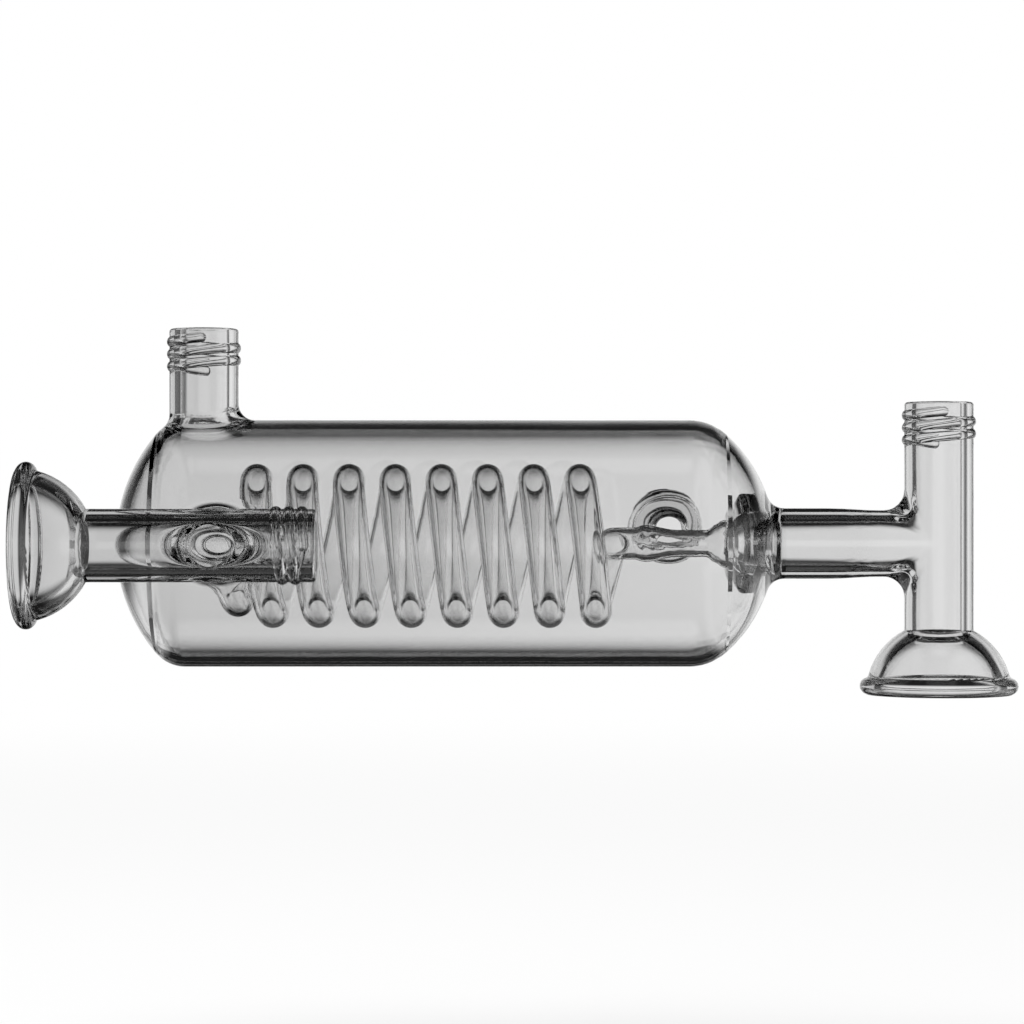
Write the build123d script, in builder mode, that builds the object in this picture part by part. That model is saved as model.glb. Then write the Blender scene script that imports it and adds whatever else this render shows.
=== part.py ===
from build123d import *
import os
from math import atan2, cos, degrees, radians, sin, sqrt

os.makedirs("parts", exist_ok=True)

# A coil condenser of blown laboratory glass, fused into one piece. The jacket lies along X,
# its origin is on the jacket's axis halfway along the straight wall, and the front faces -Y.

# Jacket
jacket_radius = 30.0
jacket_wall = 2.4
jacket_straight = 122.3
left_dome_depth = 16.85
left_knuckle_radius = 9.1
right_dome_depth = 20.9
right_knuckle_radius = 13.5
neck_fillet = 4.5  # right dome into its branch

# Tubes of the two T-pieces and the two water ports
tube_radius = 8.4
bore_radius = 5.6
branch_radius = 8.1
branch_bore_radius = 5.4
neck_radius = 8.6  # right branch where it leaves the dome
neck_taper = 12.5  # length over which it narrows to the branch's radius
tee_fillet = 5.0
tee_bore_fillet = 4.0
top_port_fillet = 4.0
top_port_bore_fillet = 4.5
rear_port_fillet = 2.0
rear_hole_fillet = 1.6
front_branch_fillet = 6.0
mouth_fillet = 0.8
mouth_bore_fillet = 0.6

# Water ports
top_port_inset = 4.35  # from the left end of the straight wall
rear_port_inset = 3.55  # from the right end of the straight wall
rear_port_turn = 7.0  # degrees up from straight back
port_length = 22.2  # jacket wall to mouth
rear_hole_radius = 3.2  # hole in the jacket's wall, which widens to the port's bore
rear_flare_length = 4.5

# Right T-piece, upright across the jacket's axis
right_branch_length = 39.95  # dome's pole to the upright tube's axis
right_mouth_height = 34.4
right_cup_drop = 36.7

# Front T-piece, in front of the jacket and parallel to it
front_branch_inset = 9.75  # from the left end of the straight wall
front_branch_length = 20.0  # jacket wall to the tube's axis
front_mouth_reach = 24.8
front_cup_reach = 43.4

# Ball-joint cups
seat_radius = 14.29
cup_wall = 3.4
rim_bead_radius = 2.0
rim_bead_overhang = 1.5  # rim beyond the cup's wall
rim_bead_fillet = 1.0
cup_neck_fillet = 2.5
cup_bore_fillet = 1.5
seat_edge_fillet = 0.4

# Screw threads at the four mouths
thread_crest_radius = 9.0
thread_pitch = 3.0
thread_ridge_radius = 1.5
thread_depth_below_mouth = 3.2  # last crest, where the ridge passes the left side
thread_turns = 2  # full turns between the quarter turns at its ends

# Coil
coil_radius = 16.1
coil_drop = 0.6
coil_tube_radius = 3.9
coil_bore_radius = 2.9
coil_pitch = 11.2
coil_near_advance = 3.9  # along X, over the front half of each turn
coil_start_gap = 7.6  # front branch to the first turn's top
coil_end_gap = 22.65  # last turn's bottom to the right end of the straight wall

# Inlet inside the jacket: a funnel at the front wall, then a double bend
funnel_radius = 8.0
funnel_length = 5.56
inlet_drop = 14.0
inlet_shift = 3.0  # its low end from under the front branch

# Outlet inside the jacket: a return bend to the axis, then a shaped tube to the right neck
return_run = 5.0
return_advance = 4.3
outlet_bend = 5.0
bulb_radius = 4.5
bulb_length = 5.0
waist_radius = 3.3
waist_length = 7.0
flare_radius = 5.9
flare_length = 6.0
outlet_wall = 1.1
ring_seal_radius = 12.3
ring_seal_length = 7.4
ring_seal_round = 3.5

# Places that follow from the sizes
half = jacket_straight / 2
cavity_radius = jacket_radius - jacket_wall
right_pole = half + right_dome_depth
port_reach = jacket_radius + port_length
right_x = right_pole + right_branch_length
taper_end = right_x - tube_radius - tee_fillet - 1
front_x = -half + front_branch_inset
front_y = -(jacket_radius + front_branch_length)
cup_radius = seat_radius + cup_wall
bead_centre = cup_radius + rim_bead_overhang - rim_bead_radius

rear_up = Vector(0, cos(radians(rear_port_turn)), sin(radians(rear_port_turn)))
top_port = Plane((-half + top_port_inset, 0, 0), x_dir=(1, 0, 0), z_dir=(0, 0, 1))
rear_port = Plane((half - rear_port_inset, 0, 0), x_dir=(1, 0, 0), z_dir=rear_up)
right_tube = Plane((right_x, 0, 0), x_dir=(1, 0, 0), z_dir=(0, 0, 1))
front_tube = Plane((front_x, front_y, 0), x_dir=(0, 0, -1), z_dir=(1, 0, 0))
front_branch = Plane((front_x, front_y, 0), x_dir=(1, 0, 0), z_dir=(0, 1, 0))

mouths = [
    top_port.offset(port_reach),
    rear_port.offset(port_reach),
    right_tube.offset(right_mouth_height),
    front_tube.offset(front_mouth_reach),
]
rims = [right_tube.offset(-right_cup_drop), front_tube.offset(-front_cup_reach)]
tees = [(right_tube, right_cup_drop, right_mouth_height), (front_tube, front_cup_reach, front_mouth_reach)]

along = (1, 0)  # in the sketches of profiles that are turned about X

# Each end of the jacket is a knuckle, tangent to the straight wall, and a round crown
domes = [(-1, left_dome_depth, left_knuckle_radius), (1, right_dome_depth, right_knuckle_radius)]


def crown_radius(depth, knuckle):
    return (depth**2 + (jacket_radius - knuckle) ** 2 - knuckle**2) / (2 * (depth - knuckle))


def dome_points(side, depth, knuckle, inset):
    crown = crown_radius(depth, knuckle)
    centre = Vector(side * (half + depth - crown), 0)
    aim = (Vector(side * half, knuckle - jacket_radius) - centre).normalized()
    wall_end = Vector(side * half, inset - jacket_radius)
    return wall_end, centre + aim * (crown - inset), Vector(side * (half + depth - inset), 0)


# The coil's centre line is a chain of half circles. Each lies in a plane through two points
# above and below the axis, where the tube runs straight forwards or backwards.
backwards = Vector(0, 1, 0)
forwards = Vector(0, -1, 0)
first_top = front_x + coil_start_gap
last_bottom = half - coil_end_gap
span = last_bottom - coil_near_advance - first_top
turns = round(span / coil_pitch) + 1
pitch = span / (turns - 1)
tops = [Vector(first_top + i * pitch, 0, coil_radius - coil_drop) for i in range(turns)]
bottoms = [Vector(top.X + coil_near_advance, 0, -coil_radius - coil_drop) for top in tops]

# Each bend is its start, its centre, the way it sets off and its angle in degrees
inlet_reach = cavity_radius - funnel_length
inlet_fall = Vector(inlet_shift, 0, -inlet_drop)
inlet_start = Vector(front_x, -inlet_reach, 0)
inlet_end = Vector(front_x, 0, 0) + inlet_fall
inlet_middle = (inlet_start + inlet_end) / 2
inlet_bend = (inlet_reach**2 + inlet_fall.length**2) / (4 * inlet_fall.length)
inlet_centre = inlet_fall.normalized() * inlet_bend
inlet_angle = 2 * degrees(atan2(inlet_fall.length, inlet_reach))
inlet_slope = backwards * cos(radians(inlet_angle)) + inlet_fall.normalized() * sin(radians(inlet_angle))
outlet_turn = bottoms[-1] + backwards * return_run
outlet_level = Vector(last_bottom + return_advance, return_run, 0)
outlet_start = last_bottom + return_advance + outlet_bend

bends = [
    (inlet_start, inlet_start + inlet_centre, backwards, inlet_angle),
    (inlet_middle, inlet_end - inlet_centre, inlet_slope, inlet_angle),
    (inlet_end, (inlet_end + tops[0]) / 2, backwards, 180),
    (outlet_turn, (outlet_turn + outlet_level) / 2, backwards, 180),
    (outlet_level, outlet_level + Vector(outlet_bend, 0, 0), forwards, 90),
]
bends += [(top, (top + bottom) / 2, forwards, 180) for top, bottom in zip(tops, bottoms)]
bends += [(bottom, (bottom + top) / 2, backwards, 180) for bottom, top in zip(bottoms, tops[1:])]

# One screw thread, downwards from a mouth at the origin, again as half circles
ridge_radius = thread_crest_radius - thread_ridge_radius
half_turns = [
    (
        Vector(ridge_radius * (-1) ** (i + 1), 0, -thread_depth_below_mouth - i * thread_pitch / 2),
        Vector(ridge_radius * (-1) ** i, 0, -thread_depth_below_mouth - (i + 1) * thread_pitch / 2),
    )
    for i in range(2 * thread_turns)
]

with BuildPart() as thread:
    for i, (start, end) in enumerate(half_turns):
        heading = backwards if i % 2 == 0 else forwards
        with BuildSketch(Plane(start, x_dir=(1, 0, 0), z_dir=heading)):
            Circle(thread_ridge_radius)
        revolve(axis=Axis((start + end) / 2, (start - end).cross(heading)), revolution_arc=180)
    for end, heading, rise in [
        (half_turns[0][0], forwards, thread_pitch / 4),
        (half_turns[-1][1], backwards, -thread_pitch / 4),
    ]:
        centre = Vector(0, 0, end.Z + rise)
        with BuildSketch(Plane(end, x_dir=(1, 0, 0), z_dir=heading)):
            Circle(thread_ridge_radius)
        revolve(axis=Axis(centre, (end - centre).cross(heading)), revolution_arc=90)
        with Locations(centre + heading * (end - centre).length):
            Sphere(thread_ridge_radius)

# One ball-joint cup, upwards from its rim at the origin
with BuildPart() as cup:
    with BuildSketch(Plane.XZ) as cup_profile:
        Circle(cup_radius)
        Rectangle(2 * cup_radius, 2 * cup_radius, align=(Align.MIN, Align.MIN), mode=Mode.INTERSECT)
        with Locations((bead_centre, rim_bead_radius)):
            Circle(rim_bead_radius)
        Rectangle(bead_centre, rim_bead_radius, align=(Align.MIN, Align.MIN))
        Rectangle(tube_radius, cup_radius + cup_neck_fillet, align=(Align.MIN, Align.MIN))
        corners = cup_profile.vertices().filter_by(lambda v: v.X > tube_radius - 0.01)
        corners = corners.filter_by(lambda v: v.Y > rim_bead_radius + 0.01).sort_by(Axis.Y)
        fillet(corners[0], rim_bead_fillet)
        fillet(corners[1], cup_neck_fillet)
    revolve(axis=Axis.Z)

# The outside of the whole body, as if it were solid glass
with BuildPart() as body:
    with BuildSketch(Plane.XZ):
        with BuildLine():
            for side, depth, knuckle in domes:
                wall_end, knuckle_end, pole = dome_points(side, depth, knuckle, 0)
                bend = TangentArc(wall_end, knuckle_end, tangent=(side, 0))
                TangentArc(knuckle_end, pole, tangent=bend % 1)
                Polyline(pole, (0, 0))
                Polyline(wall_end, (0, -jacket_radius))
        make_face()
        with BuildLine():
            narrow = (taper_end, -branch_radius)
            wide = (taper_end - neck_taper, -neck_radius)
            Spline(wide, narrow, tangents=[along, along])
            Polyline(narrow, (right_x, -branch_radius), (right_x, 0), (0, 0), (0, -neck_radius), wide)
        make_face()
    revolve(axis=Axis.X)
    necks = body.edges().filter_by(GeomType.CIRCLE).filter_by(lambda edge: edge.radius < neck_radius + 0.01)
    fillet(necks.sort_by(Axis.X)[0], neck_fillet)
    for plane, radius, length, blend in [
        (top_port, tube_radius, port_reach, top_port_fillet),
        (rear_port, tube_radius, port_reach, rear_port_fillet),
        (front_branch, branch_radius, -front_y, front_branch_fillet),
    ]:
        with BuildSketch(plane):
            Circle(radius)
        extrude(amount=length)
        seam = body.edges(Select.LAST).filter_by(GeomType.CIRCLE, reverse=True)
        fillet(seam.filter_by(GeomType.LINE, reverse=True), blend)
    for plane, down, up in tees:
        with BuildSketch(plane.offset(-down + cup_radius)):
            Circle(tube_radius)
        extrude(amount=up + down - cup_radius)
        seam = body.edges(Select.LAST).filter_by(GeomType.CIRCLE, reverse=True)
        fillet(seam.filter_by(GeomType.LINE, reverse=True), tee_fillet)
    ends = [body.faces().sort_by_distance(mouth.origin)[0] for mouth in mouths]
    fillet([end.outer_wire().edge() for end in ends], mouth_fillet)
    with Locations(*mouths):
        add(thread.part)
    with Locations(*rims):
        add(cup.part)

# The water space between the jacket and the coil, with the bores of its two ports
with BuildPart() as cavity:
    with BuildSketch(Plane.XZ):
        with BuildLine():
            for side, depth, knuckle in domes:
                wall_end, knuckle_end, pole = dome_points(side, depth, knuckle, jacket_wall)
                bend = TangentArc(wall_end, knuckle_end, tangent=(side, 0))
                TangentArc(knuckle_end, pole, tangent=bend % 1)
                Polyline(pole, (0, 0))
                Polyline(wall_end, (0, -cavity_radius))
        make_face()
    revolve(axis=Axis.X)
    with BuildSketch(top_port):
        Circle(bore_radius)
    extrude(amount=port_reach + 1)
    seam = cavity.edges(Select.LAST).filter_by(GeomType.CIRCLE, reverse=True)
    fillet(seam.filter_by(GeomType.LINE, reverse=True), top_port_bore_fillet)
    across = rear_port.x_dir.cross(rear_port.z_dir)
    with BuildSketch(Plane(rear_port.origin, x_dir=rear_port.x_dir, z_dir=across)):
        with BuildLine():
            hole_end = (rear_hole_radius, jacket_radius)
            flare_end = (bore_radius, jacket_radius + rear_flare_length)
            flare_middle = (Vector(hole_end) + Vector(flare_end)) / 2
            opening = TangentArc(hole_end, flare_middle, tangent=(0, 1))
            TangentArc(flare_middle, flare_end, tangent=opening % 1)
            Polyline(
                flare_end,
                (bore_radius, port_reach + 1),
                (0, port_reach + 1),
                (0, 0),
                (rear_hole_radius, 0),
                hole_end,
            )
        make_face()
    revolve(axis=Axis(rear_port.origin, rear_port.z_dir))
    seam = cavity.edges(Select.LAST).filter_by(GeomType.CIRCLE, reverse=True)
    fillet(seam.filter_by(GeomType.LINE, reverse=True), rear_hole_fillet)

# The tube inside: funnel, double bend, coil, return bend and outlet, each with its bore.
# The outlet's outline goes from the return bend over a bulb and a waist to a flare, where
# a thick ring joins it to the right dome. The funnel spreads onto the front wall alike.
right_crown = crown_radius(right_dome_depth, right_knuckle_radius)
crown_middle = right_crown - jacket_wall / 2
seal_end = right_pole - right_crown + sqrt(crown_middle**2 - ring_seal_radius**2)
flare_x = seal_end - ring_seal_length
outlet_outline = [
    (outlet_start, coil_tube_radius),
    (outlet_start + bulb_length / 2, bulb_radius),
    (flare_x - flare_length - waist_length, waist_radius),
    (flare_x - flare_length, waist_radius),
    (flare_x, flare_radius),
]
outlet_bore = [(outlet_start, coil_bore_radius)]
outlet_bore += [(x, radius - outlet_wall) for x, radius in outlet_outline[1:]]
outlet_bore += [(seal_end, branch_bore_radius)]
inlet_plane = Plane((front_x, 0, 0), x_dir=(0, 1, 0), z_dir=(1, 0, 0))
inlet_axis = Axis((front_x, 0, 0), (0, 1, 0))

with BuildPart() as inner_tube:
    for start, centre, heading, angle in bends:
        with BuildSketch(Plane(start, x_dir=(1, 0, 0), z_dir=heading)):
            Circle(coil_tube_radius)
        revolve(axis=Axis(centre, (start - centre).cross(heading)), revolution_arc=angle)
    with BuildSketch(Plane(bottoms[-1], x_dir=(1, 0, 0), z_dir=backwards)):
        Circle(coil_tube_radius)
    extrude(amount=return_run)
    with BuildSketch(Plane.XZ):
        with BuildLine():
            Spline(*outlet_outline, tangents=[along] * len(outlet_outline))
            EllipticalCenterArc(
                (flare_x + ring_seal_round, flare_radius),
                ring_seal_round,
                ring_seal_radius - flare_radius,
                start_angle=90,
                arc_size=90,
            )
            Polyline(
                (flare_x + ring_seal_round, ring_seal_radius),
                (right_pole, ring_seal_radius),
                (right_pole, 0),
                (outlet_start, 0),
                (outlet_start, coil_tube_radius),
            )
        make_face()
    revolve(axis=Axis.X)
    with BuildSketch(inlet_plane):
        with BuildLine():
            EllipticalCenterArc(
                (-inlet_reach, funnel_radius),
                funnel_length,
                funnel_radius - coil_tube_radius,
                start_angle=180,
                arc_size=90,
            )
            Polyline(
                (-inlet_reach, coil_tube_radius),
                (-inlet_reach, 0),
                (-jacket_radius, 0),
                (-jacket_radius, funnel_radius),
                (-cavity_radius, funnel_radius),
            )
        make_face()
    revolve(axis=inlet_axis)

# The bores of that tube and of both T-pieces, with the ball seats of the cups
with BuildPart() as vapour_path:
    for start, centre, heading, angle in bends:
        with BuildSketch(Plane(start, x_dir=(1, 0, 0), z_dir=heading)):
            Circle(coil_bore_radius)
        revolve(axis=Axis(centre, (start - centre).cross(heading)), revolution_arc=angle)
    with BuildSketch(Plane(bottoms[-1], x_dir=(1, 0, 0), z_dir=backwards)):
        Circle(coil_bore_radius)
    extrude(amount=return_run)
    with BuildSketch(Plane.XZ):
        with BuildLine():
            Spline(*outlet_bore, tangents=[along] * len(outlet_bore))
            Polyline(
                (seal_end, branch_bore_radius),
                (right_x, branch_bore_radius),
                (right_x, 0),
                (outlet_start, 0),
                (outlet_start, coil_bore_radius),
            )
        make_face()
    revolve(axis=Axis.X)
    with BuildSketch(inlet_plane):
        with BuildLine():
            Spline(
                (-inlet_reach, coil_bore_radius),
                (-jacket_radius, branch_bore_radius),
                tangents=[(-1, 0), (-1, 0)],
            )
            Polyline(
                (-jacket_radius, branch_bore_radius),
                (front_y, branch_bore_radius),
                (front_y, 0),
                (-inlet_reach, 0),
                (-inlet_reach, coil_bore_radius),
            )
        make_face()
    revolve(axis=inlet_axis)
    for plane, down, up in tees:
        with BuildSketch(plane.offset(-down)):
            Circle(bore_radius)
        extrude(amount=down + up + 1)
        seam = vapour_path.edges(Select.LAST).filter_by(GeomType.CIRCLE, reverse=True)
        fillet(seam.filter_by(GeomType.LINE, reverse=True), tee_bore_fillet)
        with Locations(plane.offset(-down)):
            Sphere(seat_radius)
        seam = vapour_path.edges(Select.LAST).filter_by(GeomType.CIRCLE).sort_by(SortBy.RADIUS)
        fillet(seam[0], cup_bore_fillet)

# The part of the cavity that the inner tube leaves free
with BuildPart() as water_space:
    add(cavity.part)
    add(inner_tube.part, mode=Mode.SUBTRACT)

# The glass that is left, with the edges of the mouths and seats rounded
with BuildPart() as condenser:
    add(body.part)
    add(water_space.part, mode=Mode.SUBTRACT)
    add(vapour_path.part, mode=Mode.SUBTRACT)
    for mouth in mouths:
        circles = condenser.edges().filter_by(GeomType.CIRCLE)
        fillet(circles.sort_by_distance(mouth.origin)[0], mouth_bore_fillet)
    for rim in rims:
        circles = condenser.edges().filter_by(GeomType.CIRCLE).filter_by(lambda edge: edge.is_closed)
        circles = circles.filter_by(lambda edge: abs(edge.radius - seat_radius) < 1e-6)
        fillet(circles.sort_by_distance(rim.origin)[0], seat_edge_fillet)

condenser.part.label = "condenser"
export_step(condenser.part, "parts/condenser.step")
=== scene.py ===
import math

import bpy
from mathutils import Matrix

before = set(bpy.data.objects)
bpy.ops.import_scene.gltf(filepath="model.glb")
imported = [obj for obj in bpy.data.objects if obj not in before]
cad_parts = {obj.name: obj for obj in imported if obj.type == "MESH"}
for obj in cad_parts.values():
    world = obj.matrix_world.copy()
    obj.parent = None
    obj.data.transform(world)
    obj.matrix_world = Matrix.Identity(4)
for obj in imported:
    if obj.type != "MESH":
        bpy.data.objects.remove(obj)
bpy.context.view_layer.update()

# A ray that crosses the jacket and the coil meets many glass surfaces, so it gets many bounces
GLASS_BOUNCES = 32
MIRROR_BOUNCES = 8
scene = bpy.context.scene
scene.view_settings.view_transform = "Standard"
scene.cycles.max_bounces = GLASS_BOUNCES
scene.cycles.transmission_bounces = GLASS_BOUNCES
scene.cycles.glossy_bounces = MIRROR_BOUNCES

# Camera, as in the photograph: level, in front of the jacket and a little above its axis
CAMERA_PLACE = (0.01813, -0.810, 0.00766)
CAMERA_CLIP = 0.01
FOCAL_PIXELS = 3329
FRAME_PIXELS = 1024
SENSOR_WIDTH = 36
camera = bpy.data.objects.new("camera", bpy.data.cameras.new("camera"))
scene.collection.objects.link(camera)
camera.location = CAMERA_PLACE
camera.rotation_euler = (math.radians(90), 0, 0)
camera.data.lens = FOCAL_PIXELS / FRAME_PIXELS * SENSOR_WIDTH
camera.data.clip_start = CAMERA_CLIP
scene.camera = camera


class Nodes:
    """Adds nodes to a tree. A socket's value is a number, a colour or another node's output."""

    def __init__(self, tree):
        self.tree = tree
        tree.nodes.clear()

    def add(self, kind, values=None, **settings):
        node = self.tree.nodes.new(kind)
        for name, value in settings.items():
            setattr(node, name, value)
        for socket, value in (values or {}).items():
            if isinstance(value, bpy.types.NodeSocket):
                self.tree.links.new(value, node.inputs[socket])
            else:
                node.inputs[socket].default_value = value
        return node

    def math(self, operation, *values):
        return self.add("ShaderNodeMath", dict(enumerate(values)), operation=operation).outputs[0]

    def ramp(self, value, start, end, low, high, kind="SMOOTHSTEP"):
        """low up to start, high from end on, with a soft step between them."""
        values = {"Value": value, "From Min": start, "From Max": end, "To Min": low, "To Max": high}
        return self.add("ShaderNodeMapRange", values, interpolation_type=kind).outputs[0]

    def dim(self, light, shade):
        """The light that is left where shade, from 0 to 1, is the share taken away."""
        return self.math("MULTIPLY", light, self.math("SUBTRACT", 1.0, shade))

    def blend(self, factor, first, second):
        values = {0: factor, 2: first, 3: second}
        return self.add("ShaderNodeMix", values, data_type="FLOAT").outputs[0]

    def coordinates(self, kind):
        """The x, y and z of a texture coordinate."""
        place = self.add("ShaderNodeTexCoord").outputs[kind]
        return self.add("ShaderNodeSeparateXYZ", {0: place}).outputs


# Glass: clear, with the faint waves and lines that lampwork leaves in it
GLASS_TINT = (0.97, 0.97, 0.97, 1)
GLASS_IOR = 1.474
GLASS_GREY = (0.80, 0.80, 0.80, 1)
GLASS_GREY_DENSITY = 80.0
GLASS_ROUGHEST = 0.004
WAVES = {"Scale": 55.0, "Detail": 1.5, "Roughness": 0.4}
WAVE_RELIEF = {"Strength": 0.1, "Distance": 0.0004}
GRAIN = {"Scale": 900.0, "Detail": 2.0}
GRAIN_STEP = (0.55, 0.80)
glass = bpy.data.materials.new("borosilicate_glass")
glass.use_nodes = True
n = Nodes(glass.node_tree)
place = n.add("ShaderNodeTexCoord").outputs["Object"]
waves = n.add("ShaderNodeTexNoise", {"Vector": place, **WAVES})
grain = n.add("ShaderNodeTexNoise", {"Vector": place, **GRAIN})
bump = n.add("ShaderNodeBump", {"Height": waves.outputs["Fac"], **WAVE_RELIEF})
shader = n.add(
    "ShaderNodeBsdfPrincipled",
    {
        "Base Color": GLASS_TINT,
        "Transmission Weight": 1.0,
        "IOR": GLASS_IOR,
        "Roughness": n.ramp(grain.outputs["Fac"], *GRAIN_STEP, 0.0, GLASS_ROUGHEST),
        "Normal": bump.outputs["Normal"],
    },
)
absorb = n.add("ShaderNodeVolumeAbsorption", {"Color": GLASS_GREY, "Density": GLASS_GREY_DENSITY})
n.add("ShaderNodeOutputMaterial", {"Surface": shader.outputs[0], "Volume": absorb.outputs[0]})
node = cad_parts["condenser"]
node.data.materials.clear()
node.data.materials.append(glass)

# World: white for the camera. Glass sees it dark above, where it draws the dark outlines, and pale
# below, but for dark flags low down in front and behind and near the horizon at both sides. A pair is
# where a soft edge starts and ends, along one coordinate of a direction of length 1.
SKY_LIGHT = 0.85
SKY_DARK = 0.015
SKY_EDGE = (0.05, 0.30)
LOW_FLAG = {"shade": 0.985, "edge": (0.05, 0.20), "far_edge": (0.965, 0.99)}
LOW_FLAG_WIDTH = (0.28, 0.48)
LEFT_FLAG = {"shade": 0.90, "edge": (0.05, 0.20), "far_edge": (0.88, 0.98)}
RIGHT_FLAG = {"shade": 0.85, "edge": (0.30, 0.50), "far_edge": (0.80, 0.95)}
SIDE_FLAG_FOOT = (0.10, 0.28)
SIDE_FLAG_REST = 0.05
MIRROR_SHADE = 0.9
MIRROR_EDGE = (-0.6, 0.2)
FILL_LIGHT = 0.5
world = bpy.data.worlds.new("studio")
scene.world = world
world.use_nodes = True
n = Nodes(world.node_tree)


def flag(toward, share, shade, edge, far_edge):
    """How much light a flag takes, between its two soft edges. share narrows it another way."""
    taken = n.math("MULTIPLY", n.ramp(toward, *edge, 0.0, shade), n.ramp(toward, *far_edge, 1.0, 0.0))
    return n.math("MULTIPLY", taken, share)


x, y, z = n.coordinates("Generated")
below = n.math("MULTIPLY", z, -1.0)
ahead = n.ramp(n.math("ABSOLUTE", x), *LOW_FLAG_WIDTH, 1.0, 0.0)
foot = n.ramp(below, *SIDE_FLAG_FOOT, 1.0, SIDE_FLAG_REST)
light = n.ramp(z, *SKY_EDGE, SKY_LIGHT, SKY_DARK)
light = n.dim(light, flag(below, ahead, **LOW_FLAG))
light = n.dim(light, flag(n.math("MULTIPLY", x, -1.0), foot, **LEFT_FLAG))
light = n.dim(light, flag(x, foot, **RIGHT_FLAG))

# Reflections of the near side are dimmed, and not what is seen through the glass
ray = n.add("ShaderNodeLightPath").outputs
mirrored = n.math("SUBTRACT", ray["Is Glossy Ray"], ray["Is Transmission Ray"])
mirrored = n.math("MAXIMUM", mirrored, 0.0)
light = n.dim(light, n.math("MULTIPLY", mirrored, n.ramp(y, *MIRROR_EDGE, MIRROR_SHADE, 0.0)))
by_glass = n.math("MAXIMUM", ray["Is Transmission Ray"], ray["Is Glossy Ray"])
light = n.blend(by_glass, FILL_LIGHT, light)
light = n.blend(ray["Is Camera Ray"], light, 1.0)
glow = n.add("ShaderNodeBackground", {"Color": light, "Strength": 1.0})
n.add("ShaderNodeOutputWorld", {"Surface": glow.outputs[0]})

# Backdrop: a lit sheet behind the object, and a narrower one on the near side for views from behind
BACKDROP_DISTANCE = 0.67
BACKDROP_SIDES = (-0.34, 0.62)
NEAR_BACKDROP_SIDES = (-0.267, 0.42)
BACKDROP_SOFT = 0.06  # how far its soft side edges reach on both sides of these
BACKDROP_LOW = (-0.256, -0.132)  # dark at the first height, and lit from the second one up
BACKDROP_HIGH = (0.083, 0.27)
BACKDROP_SLOPE = (-0.185, 0.24)  # it gets brighter from left to right between these
BACKDROP_LIGHT = (0.69, 0.89)
BACKDROP_DARK = 0.015
BACKDROP_LEFT_DARK = 0.03
BACKDROP_RIGHT_DARK = 0.15


def backdrop_sheet(name, side, left, right):
    """A lit sheet across the line of sight. Only the glass sees it, and it is dark at its edges."""
    outer_left, outer_right = left - BACKDROP_SOFT, right + BACKDROP_SOFT
    bottom, top = BACKDROP_LOW[0], BACKDROP_HIGH[1]
    corners = ((outer_left, bottom), (outer_right, bottom), (outer_right, top), (outer_left, top))
    mesh = bpy.data.meshes.new(name)
    mesh.from_pydata([(u, side * BACKDROP_DISTANCE, v) for u, v in corners], [], [(0, 1, 2, 3)])
    sheet = bpy.data.objects.new(name, mesh)
    scene.collection.objects.link(sheet)
    material = bpy.data.materials.new(name)
    material.use_nodes = True
    n = Nodes(material.node_tree)
    x, y, z = n.coordinates("Object")
    level = n.ramp(x, *BACKDROP_SLOPE, *BACKDROP_LIGHT, kind="LINEAR")
    for part in (
        n.ramp(x, outer_left, left + BACKDROP_SOFT, BACKDROP_LEFT_DARK, 1.0),
        n.ramp(x, right - BACKDROP_SOFT, outer_right, 1.0, BACKDROP_RIGHT_DARK),
        n.ramp(z, *BACKDROP_HIGH, 1.0, BACKDROP_DARK),
        n.ramp(z, *BACKDROP_LOW, BACKDROP_DARK, 1.0),
    ):
        level = n.math("MULTIPLY", level, part)
    lit = n.add("ShaderNodeEmission", {"Color": level, "Strength": 1.0})
    n.add("ShaderNodeOutputMaterial", {"Surface": lit.outputs[0]})
    mesh.materials.append(material)
    sheet.visible_camera = False
    sheet.visible_diffuse = False
    sheet.visible_shadow = False
    return sheet


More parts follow.
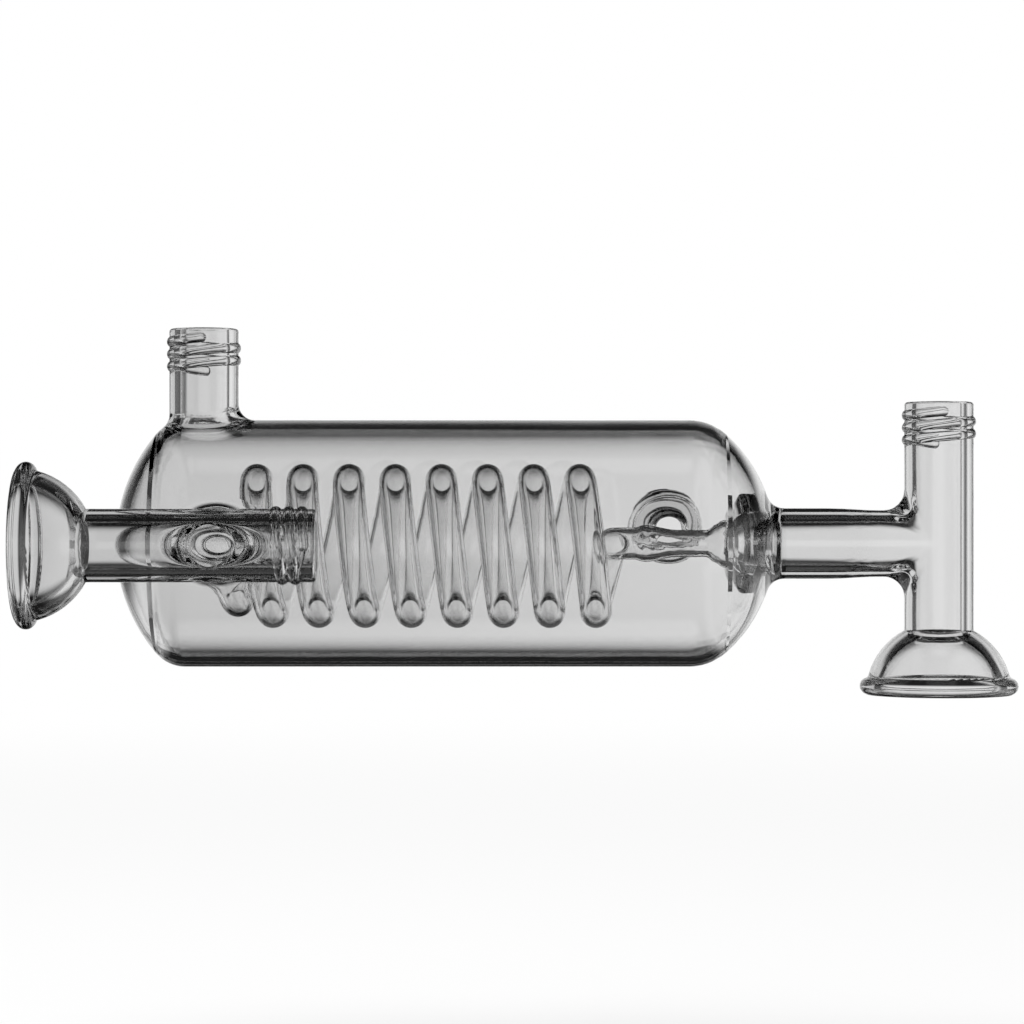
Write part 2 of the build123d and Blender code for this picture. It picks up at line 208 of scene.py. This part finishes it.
backdrop_sheet("backdrop", 1, *BACKDROP_SIDES)
backdrop_sheet("near_backdrop", -1, *NEAR_BACKDROP_SIDES).visible_glossy = False

# Floor: pale, and some way below the object. The camera sees it turn to white away from the object.
FLOOR_HEIGHT = -0.125
FLOOR_SIZE = 8.0
FLOOR_COLOUR = (0.92, 0.92, 0.92, 1)
FLOOR_GLOW = (0.7, 1.0)  # white's share, under the object and far from it
FLOOR_GLOW_REACH = (0.2, 1.4)
bpy.ops.mesh.primitive_plane_add(size=FLOOR_SIZE, location=(0, 0, FLOOR_HEIGHT))
floor = bpy.context.object
floor.name = "floor"
paint = bpy.data.materials.new("floor_paint")
paint.use_nodes = True
n = Nodes(paint.node_tree)
matt = n.add("ShaderNodeBsdfDiffuse", {"Color": FLOOR_COLOUR})
white = n.add("ShaderNodeEmission", {"Color": (1, 1, 1, 1), "Strength": 1.0})
seen = n.add("ShaderNodeLightPath").outputs["Is Camera Ray"]
place = n.add("ShaderNodeTexCoord").outputs["Object"]
distance = n.add("ShaderNodeVectorMath", {0: place}, operation="LENGTH").outputs["Value"]
share = n.math("MULTIPLY", seen, n.ramp(distance, *FLOOR_GLOW_REACH, *FLOOR_GLOW))
mixed = n.add("ShaderNodeMixShader", {0: share, 1: matt.outputs[0], 2: white.outputs[0]})
n.add("ShaderNodeOutputMaterial", {"Surface": mixed.outputs[0]})
floor.data.materials.append(paint)
floor.visible_transmission = False
floor.visible_glossy = False

# One soft light from above
SOFTBOX_PLACE = (-0.15, -0.1, 1.0)
SOFTBOX_TILT = (math.radians(5), math.radians(-8), 0)
SOFTBOX_SIZE = 0.9
SOFTBOX_POWER = 9.0
lamp = bpy.data.lights.new("softbox", "AREA")
lamp.shape = "DISK"
lamp.size = SOFTBOX_SIZE
lamp.energy = SOFTBOX_POWER
softbox = bpy.data.objects.new("softbox", lamp)
scene.collection.objects.link(softbox)
softbox.location = SOFTBOX_PLACE
softbox.rotation_euler = SOFTBOX_TILT
softbox.visible_transmission = False
softbox.visible_glossy = False
